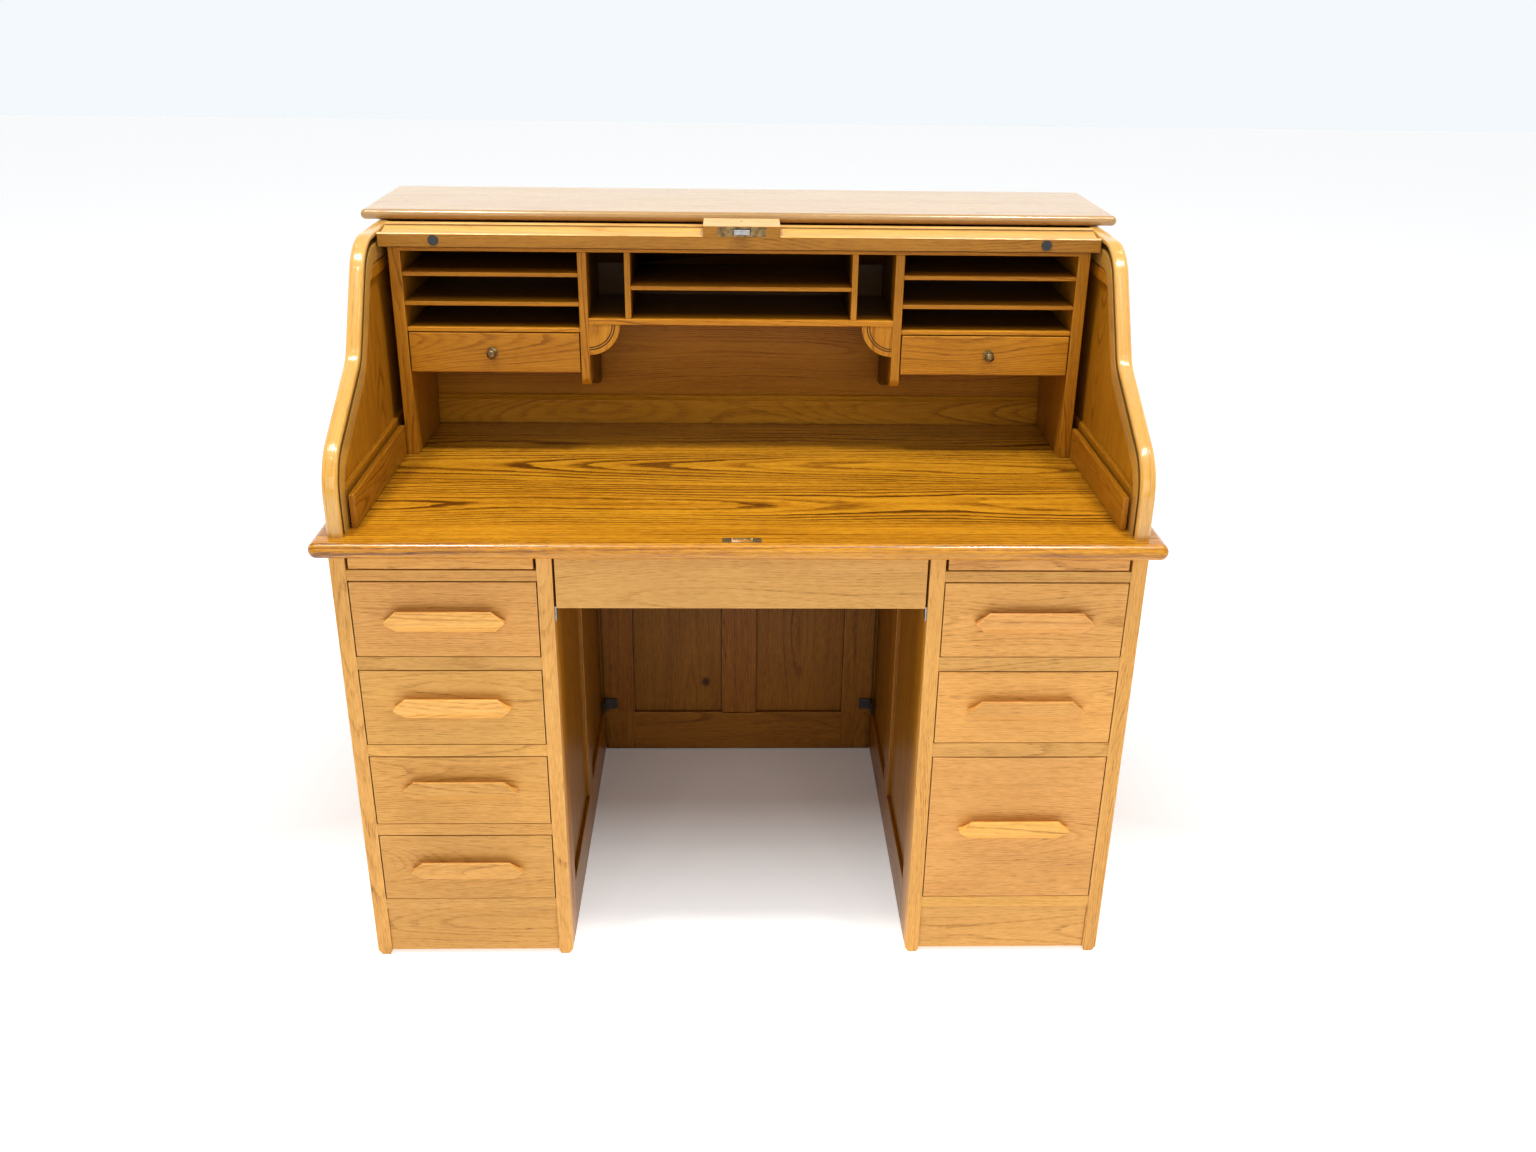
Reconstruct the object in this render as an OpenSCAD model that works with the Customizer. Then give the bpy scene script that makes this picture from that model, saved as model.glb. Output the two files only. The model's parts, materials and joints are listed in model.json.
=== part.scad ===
// Roll top desk with two pedestals, a pigeonhole unit and an S-curved slatted curtain.
// Millimetres, +Z up, the desk faces -Y, origin at the bottom centre of its bounding box.

/* [Overall] */
// Full width of the desk top and of the top board
desk_w = 1300; // [1290:2:1310]
// Height of the writing surface above the floor
top_z = 778; // [774:1:782]
// Thickness of the desk top
top_t = 26; // [24:1:28]
// Length of the writing slides, front to back
slide_len = 560; // [480:10:600]

/* [Drawers] */
// Length of the pedestal drawer boxes behind their fronts
box_len = 600; // [480:10:640]
// Thickness of the drawer fronts
front_t = 20; // [18:1:22]
// How far a wooden pull stands out of its drawer front
pull_out = 15; // [13:1:18]
// Length of a wooden pull
pull_len = 186; // [160:2:200]

/* [Pigeonholes] */
// Thickness of the thin letter shelves
shelf_t = 7; // [6:0.5:8]
// Radius of the quarter-round corner brackets
bracket_r = 53; // [45:1:58]

/* [Curtain] */
// Length of one curtain slat along the curve
slat_w = 22; // [20:0.5:23]
// Thickness of a curtain slat
slat_t = 8; // [7:0.5:9]

/* [Hidden] */

$fn = 48;
hw = desk_w / 2;            // half width of the top
mid_y = 369;                // from the pedestal fronts to the middle of the bounding box
slab_z = top_z - top_t;     // underside of the desk top
front_y = -22;              // front of the desk top nose
back_y = 760;               // back edge of the desk
end_x = 625;                // outer face of the end boards and of the pedestals
end_t = 24;                 // thickness of an end board
knee_x = 289;               // half width of the kneehole
board_z = 1170;             // underside of the top board
board_t = 17;               // thickness of the top board
unit_y = 394;               // front plane of the pigeonhole unit
unit_back = 596;            // back plane of the pigeonhole unit
unit_z = 1140;              // top of the pigeonhole unit

// ---- colours
oak = [0.80, 0.53, 0.25];
oak_top = [0.76, 0.45, 0.14];
oak_pale = [0.85, 0.62, 0.33];
oak_dark = [0.45, 0.27, 0.12];
brass = [0.70, 0.60, 0.35];
steel = [0.65, 0.66, 0.68];

// ---- helpers
module place() { translate([0, -mid_y, 0]) children(); }
module bx(x0, x1, y0, y1, z0, z1) { translate([x0, y0, z0]) cube([x1 - x0, y1 - y0, z1 - z0]); }
// the same box on the left and on the right
module both(x0, x1, y0, y1, z0, z1) { bx(x0, x1, y0, y1, z0, z1); bx(-x1, -x0, y0, y1, z0, z1); }
// a (y, z) outline pushed along X
module yz(x0, x1) { translate([x0, 0, 0]) rotate([90, 0, 90]) linear_extrude(x1 - x0) children(); }
// an (x, z) outline pushed along Y
module xz(y0, y1) { translate([0, y1, 0]) rotate([90, 0, 0]) linear_extrude(y1 - y0) children(); }
module mirrored() { children(); mirror([1, 0, 0]) children(); }
function arc(c, r, a0, a1, n = 14) = [for (i = [0:n]) let (a = a0 + (a1 - a0) * i / n) [c[0] + r * cos(a), c[1] + r * sin(a)]];
function rev(v) = [for (i = [len(v) - 1:-1:0]) v[i]];

// ---- the S curve of the end boards, as (y, z), moved inwards by d
s_foot = 4;      // front of the S at the desk top
s_top = 1169;    // top of the S
a_low = 29;      // slope of the long flat part
a_high = 58;     // slope of the steep part
r_b = 95;        // lower convex bend
r_d = 60;        // concave bend
r_f = 91;        // upper convex bend
c_b = [s_foot + r_b, 835];
p_b = [c_b[0] - r_b * sin(a_low), c_b[1] + r_b * cos(a_low)];
run_low = 157;
p_c = [p_b[0] + run_low * cos(a_low), p_b[1] + run_low * sin(a_low)];
c_d = [p_c[0] - r_d * sin(a_low), p_c[1] + r_d * cos(a_low)];
p_d = [c_d[0] + r_d * sin(a_high), c_d[1] - r_d * cos(a_high)];
run_high = (s_top - r_f * (1 - cos(a_high)) - p_d[1]) / sin(a_high);
p_e = [p_d[0] + run_high * cos(a_high), p_d[1] + run_high * sin(a_high)];
c_f = [p_e[0] + r_f * sin(a_high), p_e[1] - r_f * cos(a_high)];
function s_edge(d) = concat([[s_foot + d, top_z]], arc(c_b, r_b - d, 180, 90 + a_low),
  arc(c_d, r_d + d, a_low - 90, a_high - 90), arc(c_f, r_f - d, 90 + a_high, 90));
// the curtain groove runs on under the top board, round a back bend and down
track_d = 13.5;
c_g = [640, s_top - track_d - 90];
function track(d) = concat(s_edge(d), arc(c_g, 90 + track_d - d, 90, 0), [[c_g[0] + 90 + track_d - d, 796]]);

// ---- top, ends and backs
module nosed_board(y0, y1, z0, t) {
  r = t / 2;
  bx(-hw + r, hw - r, y0 + r, y1, z0, z0 + t);
  translate([-hw + r, y0 + r, z0 + r]) rotate([0, 90, 0]) cylinder(r = r, h = 2 * hw - 2 * r);
  for (s = [-1, 1]) {
    translate([s * (hw - r), y0 + r, z0 + r]) rotate([-90, 0, 0]) cylinder(r = r, h = y1 - y0 - r);
    translate([s * (hw - r), y0 + r, z0 + r]) sphere(r = r);
  }
}
module desk_top() color(oak_top) place() difference() {
  nosed_board(front_y, back_y - 6, slab_z, top_t);
  // recess and mortise for the strike plate and the bolt
  bx(-30, 30, -9, 11, top_z - 1.5, top_z + 1);
  bx(-16, 16, -6, 6, top_z - 14, top_z + 1);
}
module top_board() color(oak_pale) place() nosed_board(478, back_y, board_z, board_t);

module end_outline(d) { polygon(concat(s_edge(d), [[748 - d / 2, s_top - d / 2], [748 - d / 2, top_z]])); }
module panel_window() { intersection() { polygon(concat(s_edge(50), [[760, s_top - 50], [760, top_z]])); translate([60, 842]) square([628, 258]); } }
module end_board() {
  x0 = -end_x; t = end_t;
  difference() {
    union() {
      yz(x0, x0 + 2.5) end_outline(7);
      yz(x0 + 2.5, x0 + 6) end_outline(2.5);
      yz(x0 + 6, x0 + 17) end_outline(0);
      yz(x0 + 17, x0 + 21) end_outline(2);
      yz(x0 + 21, x0 + t) end_outline(5);
    }
    // groove that guides the curtain
    yz(x0 + t - 8, x0 + t + 1) polygon(concat(track(8.5), rev(track(18.5))));
    yz(x0 - 1, x0 + t + 1) panel_window();
  }
}
module left_end() color(oak) place() end_board();
module right_end() color(oak) place() mirror([1, 0, 0]) end_board();
module end_panels() color(oak) place() mirrored() {
  yz(-618, -608) panel_window();
}

module frame_rails(y0, y1, z0, z1, xs, w) {
  // stiles at the given centres, then rails between them
  for (x = xs) bx(x - w / 2, x + w / 2, y0, y1, z0, z1);
  for (i = [0:len(xs) - 2]) {
    bx(xs[i] + w / 2, xs[i + 1] - w / 2, y0, y1, z0, z0 + w);
    bx(xs[i] + w / 2, xs[i + 1] - w / 2, y0, y1, z1 - w, z1);
  }
}
back_xs = [-571, -190, 190, 571];
module back_frame() color(oak_dark) place() frame_rails(737, 748, top_z, board_z, back_xs, 60);
module back_panels() color(oak_dark) place()
  for (i = [0:2]) bx(back_xs[i] + 30, back_xs[i + 1] - 30, 740, 746, top_z + 60, board_z - 60);

module inner_back_panel() color(oak) place() bx(-588, 588, unit_back, unit_back + 6, 830, 1084);
module inner_back_rail() color(oak) place() yz(-568, 568)
  polygon([[584, top_z], [584, 822], [586, 824], [589, 826], [591, 830], [595, 832], [unit_back, 832], [unit_back, top_z]]);

module side_cleats() color(oak) place() both(588, 597, 45, unit_y, top_z, 832);

// ---- pigeonhole unit
module side_outline() { polygon([[unit_y, top_z], [unit_y, unit_z], [515, unit_z], [unit_back, 1090], [unit_back, top_z]]); }
module pigeonhole_sides() color(oak) place() mirrored() yz(568, 588) side_outline();
module thick_divider_outline() {
  polygon(concat([[unit_y, 1134], [515, 1134], [unit_back, 1084], [unit_back, 862]],
    [for (i = [0:10]) let (t = i / 10) [unit_back - 12 - t * 150, 860 + 43 * (1 - cos(180 * t)) / 2]],
    arc([unit_y + 16, 919], 16, 270, 180, 6)));
}
module pigeonhole_dividers() color(oak) place() {
  mirrored() yz(260, 275) thick_divider_outline();
  mirrored() yz(187, 197) polygon([[unit_y + 1, 1022], [unit_y + 1, 1134], [515, 1134], [unit_back, 1084], [unit_back, 1022]]);
}
module shelf(x0, x1, z, y1 = unit_back) { bx(x0, x1, unit_y + 2, y1, z, z + shelf_t); }
module pigeonhole_shelves() color(oak) place() {
  mirrored() { shelf(275, 568, 1092, 566); shelf(275, 568, 1042.5); shelf(275, 568, 998); bx(275, 568, 420, unit_back, 920, 926.5); }
  shelf(-187, 187, 1071);
  bx(-260, 260, unit_y, unit_back, 1012, 1022);
  bx(-568, 568, unit_y, 515, 1134, unit_z);
  // sloping board that closes the unit at its top back corner
  for (p = [[-568, -275], [-260, -197], [-187, 187], [197, 260], [275, 568]])
    yz(p[0], p[1]) polygon([[515, 1134], [unit_back, 1084], [unit_back, 1078], [515, 1128]]);
}
module corner_brackets() color(oak_pale) place() mirrored() difference() {
  xz(unit_y + 1, unit_y + 15) polygon(concat([[260, 1012]], [for (i = [0:16]) let (a = 180 + 90 * i / 16) [260 + bracket_r * cos(a), 1012 + bracket_r * sin(a)]]));
  // incised lines near the round edge
  for (r = [bracket_r - 8, bracket_r - 12]) translate([260, unit_y + 2, 1012]) rotate([90, 0, 0])
    difference() { cylinder(r = r, h = 3, $fn = 64); translate([0, 0, -1]) cylinder(r = r - 2.2, h = 5, $fn = 64); }
}

// ---- drawer: front, two sides, back and bottom, each its own board
module drawer_box(x0, x1, y0, z0, z1, len, side_t = 10, low = 1, clear = 10) {
  // the front
  bx(x0, x1, y0, y0 + front_t, z0, z1);
  ys = y0 + front_t; ye = ys + len; zt = z1 - clear;
  bx(x0 + 1, x0 + 1 + side_t, ys, ye, z0 - low, zt);
  bx(x1 - 1 - side_t, x1 - 1, ys, ye, z0 - low, zt);
  bx(x0 + 1 + side_t, x1 - 1 - side_t, ye - side_t, ye, z0 + 8, zt - 4);
  bx(x0 + 1 + side_t, x1 - 1 - side_t, ys, ye - side_t, z0 + 4, z0 + 9);
}
module small_drawer(s) {
  m = s < 0 ? [1, 0, 0] : [0, 0, 0];
  mirror(m) {
    bx(277, 566, unit_y, unit_y + 14, 928.5, 996);
    bx(278, 286, unit_y + 14, 580, 927.5, 990);
    bx(557, 565, unit_y + 14, 580, 927.5, 990);
    bx(286, 557, 572, 580, 932, 988);
    bx(286, 557, unit_y + 14, 572, 930, 934);
  }
}
module small_drawer_left() color(oak) place() small_drawer(-1);
module small_drawer_right() color(oak) place() small_drawer(1);
module knob(x) {
  translate([x, unit_y, 963]) rotate([90, 0, 0]) rotate_extrude()
    polygon([[0, 0], [9, 0], [9, 2], [4.5, 3.5], [4, 9], [7, 12], [8, 15.5], [7, 18.5], [4, 20], [0, 20.3]]);
}
module small_knob_left() color(brass) place() knob(-426);
module small_knob_right() color(brass) place() knob(428);

// ---- pedestals
rails_l = [[96, 117], [246, 268], [398, 420], [556, 579], [709, 727]];
rails_r = [[96, 117], [396, 422], [554, 579], [709, 727]];
module foot_chamfer(x0, x1) {
  // the stile ends in a small pointed foot
  xz(0, 22) polygon([[x0, 8], [x0 + 3, 0], [x1 - 7, 0], [x1, 9], [x1, slab_z], [x0, slab_z]]);
}
module face_frame(rails) {
  // outer stile, inner stile and the rails between the drawers, for the side at positive X
  foot_chamfer(601, end_x);
  mirror([1, 0, 0]) xz(0, 22) polygon([[-313, 8], [-310, 0], [-296, 0], [-knee_x, 9], [-knee_x, slab_z], [-313, slab_z]]);
  for (r = rails) bx(313, 601, 1, 22, r[0], r[1]);
}
module left_face_frame() color(oak) place() mirror([1, 0, 0]) face_frame(rails_l);
module right_face_frame() color(oak) place() face_frame(rails_r);
module plinths() color(oak) place() both(313, 601, 3, 21, 8, 96);
side_ys = [50, 374, 720];
module side_frame(x0, x1) {
  for (y = side_ys) bx(x0, x1, y - 28, y + 28, 6, slab_z);
  for (i = [0, 1]) {
    bx(x0, x1, side_ys[i] + 28, side_ys[i + 1] - 28, 6, 96);
    bx(x0, x1, side_ys[i] + 28, side_ys[i + 1] - 28, 690, slab_z);
  }
}
module pedestal_sides() color(oak) place() mirrored() { side_frame(605, end_x); side_frame(knee_x, 309); }
module pedestal_side_panels() color(oak) place() mirrored() for (i = [0, 1]) {
  bx(610, 618, side_ys[i] + 28, side_ys[i + 1] - 28, 96, 690);
  bx(296, 304, side_ys[i] + 28, side_ys[i + 1] - 28, 96, 690);
}
module pedestal_backs() color(oak_dark) place() both(309, 605, 738, 748, 8, slab_z);
module runner_pair(z) { bx(309, 323, 22, 738, z - 16, z); bx(591, 605, 22, 738, z - 16, z); }
module drawer_runners() color(oak_dark) place() {
  for (r = rails_r) runner_pair(r[1]);
  mirror([1, 0, 0]) for (r = rails_l) runner_pair(r[1]);
  both(271, knee_x, 22, 640, 664, 676);
}

module pedestal_drawer(s, z0, z1) { mirror(s < 0 ? [1, 0, 0] : [0, 0, 0]) drawer_box(314.5, 599.5, 0, z0 + 1.5, z1 - 1.5, box_len); }
// wooden pull: a pointed plate that stands out furthest along its top edge, slopes back below, and has a finger hollow behind the top edge
module pull(s, z) {
  h = pull_len / 2; p = pull_out;
  mirror(s < 0 ? [1, 0, 0] : [0, 0, 0]) translate([457.5, 0, z]) intersection() {
    xz(-p - 1, 1) polygon([[-h, 1], [-h + 20, 20], [h - 20, 20], [h, 1], [h - 17, -19], [17 - h, -19]]);
    yz(-h - 1, h + 1) polygon([[-p + 1, 20], [-p, 19], [-p + 0.8, -3], [-3, -19], [0, -19], [0, 2], [-3.5, 4.5], [-p + 7.5, 9], [-p + 5.5, 14], [-p + 4.6, 20]]);
  }
}
module drawer_l1() color(oak) place() pedestal_drawer(-1, 579, 709);
module drawer_l2() color(oak) place() pedestal_drawer(-1, 420, 556);
module drawer_l3() color(oak) place() pedestal_drawer(-1, 268, 398);
module drawer_l4() color(oak) place() pedestal_drawer(-1, 117, 246);
module drawer_r1() color(oak) place() pedestal_drawer(1, 579, 709);
module drawer_r2() color(oak) place() pedestal_drawer(1, 422, 554);
module drawer_r3() color(oak) place() pedestal_drawer(1, 117, 396);
module pull_l1() color(oak_pale) place() pull(-1, 643);
module pull_l2() color(oak_pale) place() pull(-1, 490);
module pull_l3() color(oak_pale) place() pull(-1, 337);
module pull_l4() color(oak_pale) place() pull(-1, 179);
module pull_r1() color(oak_pale) place() pull(1, 642);
module pull_r2() color(oak_pale) place() pull(1, 486);
module pull_r3() color(oak_pale) place() pull(1, 258);

module centre_drawer() color(oak) place() {
  bx(-285.5, 285.5, 0, front_t, 664, 748);
  both(260, 268.5, front_t, 600, 670, 742);
  // battens that hang the box on its runners
  both(268.5, 284, front_t, 600, 677, 687);
  bx(-260, 260, 590, 600, 676, 738);
  bx(-260, 260, front_t, 590, 672, 677);
}
module slide(s) { mirror(s < 0 ? [1, 0, 0] : [0, 0, 0]) { bx(317.5, 597.5, 2, 22 + slide_len, 728.5, 748); } }
module left_slide() color(oak) place() slide(-1);
module right_slide() color(oak) place() slide(1);

// ---- kneehole back
modesty_xs = [-254, 2, 254];
module modesty_frame() color(oak_dark) place() {
  bx(-knee_x, -224, 679, 699, 2, slab_z);
  bx(224, knee_x, 679, 699, 2, slab_z);
  bx(-36, 38, 679, 699, 94, 690);
  bx(-224, 224, 679, 699, 2, 94);
  bx(-224, 224, 679, 699, 690, slab_z);
}
module modesty_panels() color(oak_dark) place() { bx(-224, -36, 685, 693, 94, 690); bx(38, 224, 685, 693, 94, 690); }
module kneehole_brackets() color([0.12, 0.12, 0.12]) place() mirrored() {
  bx(262, knee_x, 676, 679, 104, 128);
  bx(286, knee_x, 652, 676, 104, 128);
}
module drawer_brackets() color(steel) place() mirrored() {
  bx(286.5, knee_x, 6, 22, 640, 664);
  bx(271, 286.5, 6, 22, 661.5, 664);
}

// ---- lock rail and curtain, in the open place under the top board
rail_y = 374;               // bottom edge of the rail, now its foremost face
rail_h = 104;
rail_t = 22.5;
rail_zc = s_top - track_d;  // middle of the rail's thickness
rail_x = 598;
module rail_outline() {
  z0 = rail_zc - rail_t / 2; z1 = rail_zc + rail_t / 2;
  // a flat face, then a wide cove that climbs to a raised bead at the back
  polygon(concat([[rail_y, z0], [rail_y, z1 - 2], [rail_y + 2, z1], [rail_y + 9, z1], [rail_y + 10, z1 - 2.5]],
    [for (i = [0:8]) let (t = i / 8) [rail_y + 12 + 48 * t, z1 - 2.5 + 5.5 * t - 2.5 * sin(180 * t)]],
    [[rail_y + 61, z1 + 1], [rail_y + 62, z1 + 4.5], [rail_y + 64, z1 + 6], [rail_y + 74, z1 + 6], [rail_y + 76, z1 + 4.5],
     [rail_y + 78, z1], [rail_y + rail_h, z1], [rail_y + rail_h, z0]]));
}
module lock_rail() color(oak_pale) place() difference() {
  union() {
    yz(-rail_x, rail_x) rail_outline();
    bx(-64, 64, rail_y, rail_y + 80, rail_zc, 1182);
  }
  // recess for the selvedge plate, bolt mortise and keyhole
  bx(-40, 40, rail_y - 1, rail_y + 2, 1165, 1181);
  bx(-14.5, 14.5, rail_y - 1, rail_y + 40, 1168.5, 1177.5);
  translate([0, rail_y + 52, 1170]) cylinder(d = 5, h = 20);
}
module lock_plate() color(brass) place() difference() {
  bx(-40, 40, rail_y, rail_y + 2, 1165, 1181);
  bx(-14.5, 14.5, rail_y - 1, rail_y + 3, 1168.5, 1177.5);
}
module lock_bolt() color(steel) place() bx(-13.5, 13.5, rail_y - 7, rail_y + 26, 1169, 1177);
module strike_plate() color(brass) place() difference() {
  bx(-30, 30, -9, 11, top_z - 1.5, top_z);
  bx(-16, 16, -6, 6, top_z - 3, top_z + 1);
}
module rail_buffers() color([0.10, 0.12, 0.12]) place() for (x = [-507, 507])
  translate([x, rail_y, rail_zc]) rotate([90, 0, 0]) cylinder(d = 17, h = 2);

// ---- the curtain's slats, rolled up behind the lock rail: seven lie flat, the rest go round the back bend and down
pitch = slat_w + 0.6;
slats_flat = 7;
slats_down = 8;
slat_x = 606;               // half length of a slat, whose ends lie in the grooves
slat_y = rail_y + rail_h + 2;
bend_r = 90 - slat_t / 2;   // inner face of the slats in the back bend
bend_n = 6;
module slat_section(w = slat_w) { // flat face below, rounded upper edges
  polygon([[-w / 2, 0], [w / 2, 0], [w / 2, slat_t * 0.45], [w / 2 - 1.2, slat_t * 0.75], [w / 2 - 3.4, slat_t * 0.94], [w / 2 - 6, slat_t],
    [6 - w / 2, slat_t], [3.4 - w / 2, slat_t * 0.94], [1.2 - w / 2, slat_t * 0.75], [-w / 2, slat_t * 0.45]]);
}
module curtain_slats_top() color(oak) place() for (i = [0:slats_flat - 1])
  yz(-slat_x, slat_x) translate([slat_y + pitch * (i + 0.5), rail_zc - slat_t / 2]) slat_section();
module curtain_canvas_top() color([0.62, 0.55, 0.42]) place()
  bx(-585, 585, slat_y, slat_y + pitch * slats_flat, rail_zc - slat_t / 2 - 0.8, rail_zc - slat_t / 2);
module curtain_slats_back() color(oak) place() {
  for (i = [0:bend_n - 1]) yz(-slat_x, slat_x) translate(c_g) rotate(-90 * (i + 0.5) / bend_n) translate([0, bend_r]) slat_section(bend_r * sin(7.35) * 2);
  for (i = [0:slats_down - 1]) yz(-slat_x, slat_x) translate([c_g[0] + bend_r, c_g[1] - pitch * (i + 0.5)]) rotate(-90) slat_section();
}
module curtain_canvas_back() color([0.62, 0.55, 0.42]) place() yz(-585, 585) {
  z0 = c_g[1] - pitch * slats_down;
  polygon(concat(arc(c_g, bend_r - 0.1, 90, 0, 18), [[c_g[0] + bend_r - 0.1, z0], [c_g[0] + bend_r - 0.9, z0]], arc(c_g, bend_r - 0.9, 0, 90, 18)));
}

desk_top();
top_board();
left_end();
right_end();
end_panels();
back_frame();
back_panels();
inner_back_panel();
inner_back_rail();
side_cleats();
pigeonhole_sides();
pigeonhole_dividers();
pigeonhole_shelves();
corner_brackets();
small_drawer_left();
small_drawer_right();
small_knob_left();
small_knob_right();
left_face_frame();
right_face_frame();
plinths();
pedestal_sides();
pedestal_side_panels();
pedestal_backs();
drawer_runners();
modesty_frame();
modesty_panels();
drawer_l1();
drawer_l2();
drawer_l3();
drawer_l4();
drawer_r1();
drawer_r2();
drawer_r3();
pull_l1();
pull_l2();
pull_l3();
pull_l4();
pull_r1();
pull_r2();
pull_r3();
centre_drawer();
left_slide();
right_slide();
curtain_slats_top();
curtain_canvas_top();
curtain_slats_back();
curtain_canvas_back();
lock_rail();
lock_plate();
lock_bolt();
strike_plate();
rail_buffers();
kneehole_brackets();
drawer_brackets();
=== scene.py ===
import bpy, bmesh, math, json, random
from mathutils import Vector, Matrix

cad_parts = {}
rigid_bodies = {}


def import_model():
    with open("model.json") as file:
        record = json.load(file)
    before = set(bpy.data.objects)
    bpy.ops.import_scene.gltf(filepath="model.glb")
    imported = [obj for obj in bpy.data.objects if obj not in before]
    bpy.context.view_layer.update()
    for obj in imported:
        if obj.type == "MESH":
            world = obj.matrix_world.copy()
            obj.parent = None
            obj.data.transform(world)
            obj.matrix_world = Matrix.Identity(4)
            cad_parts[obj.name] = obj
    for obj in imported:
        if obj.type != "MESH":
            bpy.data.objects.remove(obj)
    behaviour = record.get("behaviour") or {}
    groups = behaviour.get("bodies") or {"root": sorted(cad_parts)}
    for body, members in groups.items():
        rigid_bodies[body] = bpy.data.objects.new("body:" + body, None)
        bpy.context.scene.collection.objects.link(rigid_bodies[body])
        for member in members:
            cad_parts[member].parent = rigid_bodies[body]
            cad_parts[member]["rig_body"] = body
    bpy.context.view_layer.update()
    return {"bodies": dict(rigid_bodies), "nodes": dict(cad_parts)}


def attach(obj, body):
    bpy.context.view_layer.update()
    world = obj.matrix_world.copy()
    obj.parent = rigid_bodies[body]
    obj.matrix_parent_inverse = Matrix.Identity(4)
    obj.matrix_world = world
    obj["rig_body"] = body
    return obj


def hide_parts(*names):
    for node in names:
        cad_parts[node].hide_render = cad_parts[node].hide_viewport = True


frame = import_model()
NODES, BODIES = frame["nodes"], frame["bodies"]
BODY_OF = {n: o["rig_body"] for n, o in NODES.items()}
SC = bpy.context.scene
MY = 0.369                      # the front plane of the pedestals is at y = -MY

# ------------------------------------------------------------------ camera
def make_camera():
    yaw, pitch, roll = 0.0299, 0.4179, 0.0144
    f = Vector((math.sin(yaw) * math.cos(pitch), math.cos(yaw) * math.cos(pitch), -math.sin(pitch)))
    r = Vector((math.cos(yaw), -math.sin(yaw), 0))
    u = r.cross(f)
    r2 = math.cos(roll) * r + math.sin(roll) * u
    u2 = -math.sin(roll) * r + math.cos(roll) * u
    cd = bpy.data.cameras.new("camera")
    cd.sensor_width = 36
    cd.lens = 31.78
    cd.clip_start, cd.clip_end = 0.05, 60
    cam = bpy.data.objects.new("camera", cd)
    SC.collection.objects.link(cam)
    m = Matrix((r2, u2, -f)).transposed().to_4x4()
    m.translation = Vector((-0.0165, -2.2662, 1.5622))
    cam.matrix_world = m
    SC.camera = cam
make_camera()

# ------------------------------------------------------------------ node helpers
class NT:
    def __init__(self, mat):
        self.t = mat.node_tree
        self.n, self.l = self.t.nodes, self.t.links
        self.n.clear()
        self.out = self.n.new("ShaderNodeOutputMaterial") if isinstance(mat, bpy.types.Material) else None
    def new(self, kind, **k):
        nd = self.n.new(kind)
        for a, v in k.items():
            setattr(nd, a, v)
        return nd
    def link(self, a, b):
        self.l.new(a, b)
    def put(self, sock, v):
        if isinstance(v, bpy.types.NodeSocket):
            self.l.new(v, sock)
        else:
            sock.default_value = v
    def math(self, op, a, b=None, c=None, clamp=False):
        nd = self.new("ShaderNodeMath", operation=op, use_clamp=clamp)
        self.put(nd.inputs[0], a)
        if b is not None: self.put(nd.inputs[1], b)
        if c is not None: self.put(nd.inputs[2], c)
        return nd.outputs[0]
    def vmath(self, op, a, b=None):
        nd = self.new("ShaderNodeVectorMath", operation=op)
        self.put(nd.inputs[0], a)
        if b is not None: self.put(nd.inputs[1], b)
        return nd.outputs["Value"] if op in ("LENGTH", "DOT_PRODUCT") else nd.outputs[0]
    def noise(self, vec, scale=1.0, detail=2.0, rough=0.5, color=False, dist=0.0):
        nd = self.new("ShaderNodeTexNoise")
        self.put(nd.inputs["Vector"], vec)
        nd.inputs["Scale"].default_value = scale
        nd.inputs["Detail"].default_value = detail
        nd.inputs["Roughness"].default_value = rough
        nd.inputs["Distortion"].default_value = dist
        return nd.outputs["Color" if color else "Fac"]
    def remap(self, v, a, b, c=0.0, d=1.0, smooth=False):
        nd = self.new("ShaderNodeMapRange")
        nd.interpolation_type = "SMOOTHSTEP" if smooth else "LINEAR"
        nd.clamp = True
        self.put(nd.inputs[0], v)
        for i, x in enumerate((a, b, c, d)):
            nd.inputs[i + 1].default_value = x
        return nd.outputs[0]
    def mix(self, fac, a, b, mode="MIX"):
        nd = self.new("ShaderNodeMix", data_type="RGBA", blend_type=mode)
        self.put(nd.inputs[0], fac)
        for s, v in ((nd.inputs[6], a), (nd.inputs[7], b)):
            if isinstance(v, tuple) and len(v) == 3: v = (*v, 1.0)
            self.put(s, v)
        return nd.outputs[2]
    def ramp(self, fac, stops):
        nd = self.new("ShaderNodeValToRGB")
        self.put(nd.inputs[0], fac)
        cr = nd.color_ramp
        while len(cr.elements) < len(stops): cr.elements.new(0.5)
        for e, (p, c) in zip(cr.elements, stops):
            e.position = p
            e.color = (*c, 1.0) if isinstance(c, tuple) else (c, c, c, 1.0)
        return nd.outputs[0]
    def sep(self, v):
        nd = self.new("ShaderNodeSeparateXYZ")
        self.put(nd.inputs[0], v)
        return nd.outputs
    def comb(self, x, y, z):
        nd = self.new("ShaderNodeCombineXYZ")
        for s, v in zip(nd.inputs, (x, y, z)): self.put(s, v)
        return nd.outputs[0]
    def attr(self, name, out="Fac"):
        nd = self.new("ShaderNodeAttribute", attribute_name=name, attribute_type="GEOMETRY")
        return nd.outputs[out]
    def wnoise(self, w):
        nd = self.new("ShaderNodeTexWhiteNoise", noise_dimensions="1D")
        self.put(nd.inputs["W"], w)
        return nd.outputs["Color"]

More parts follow.
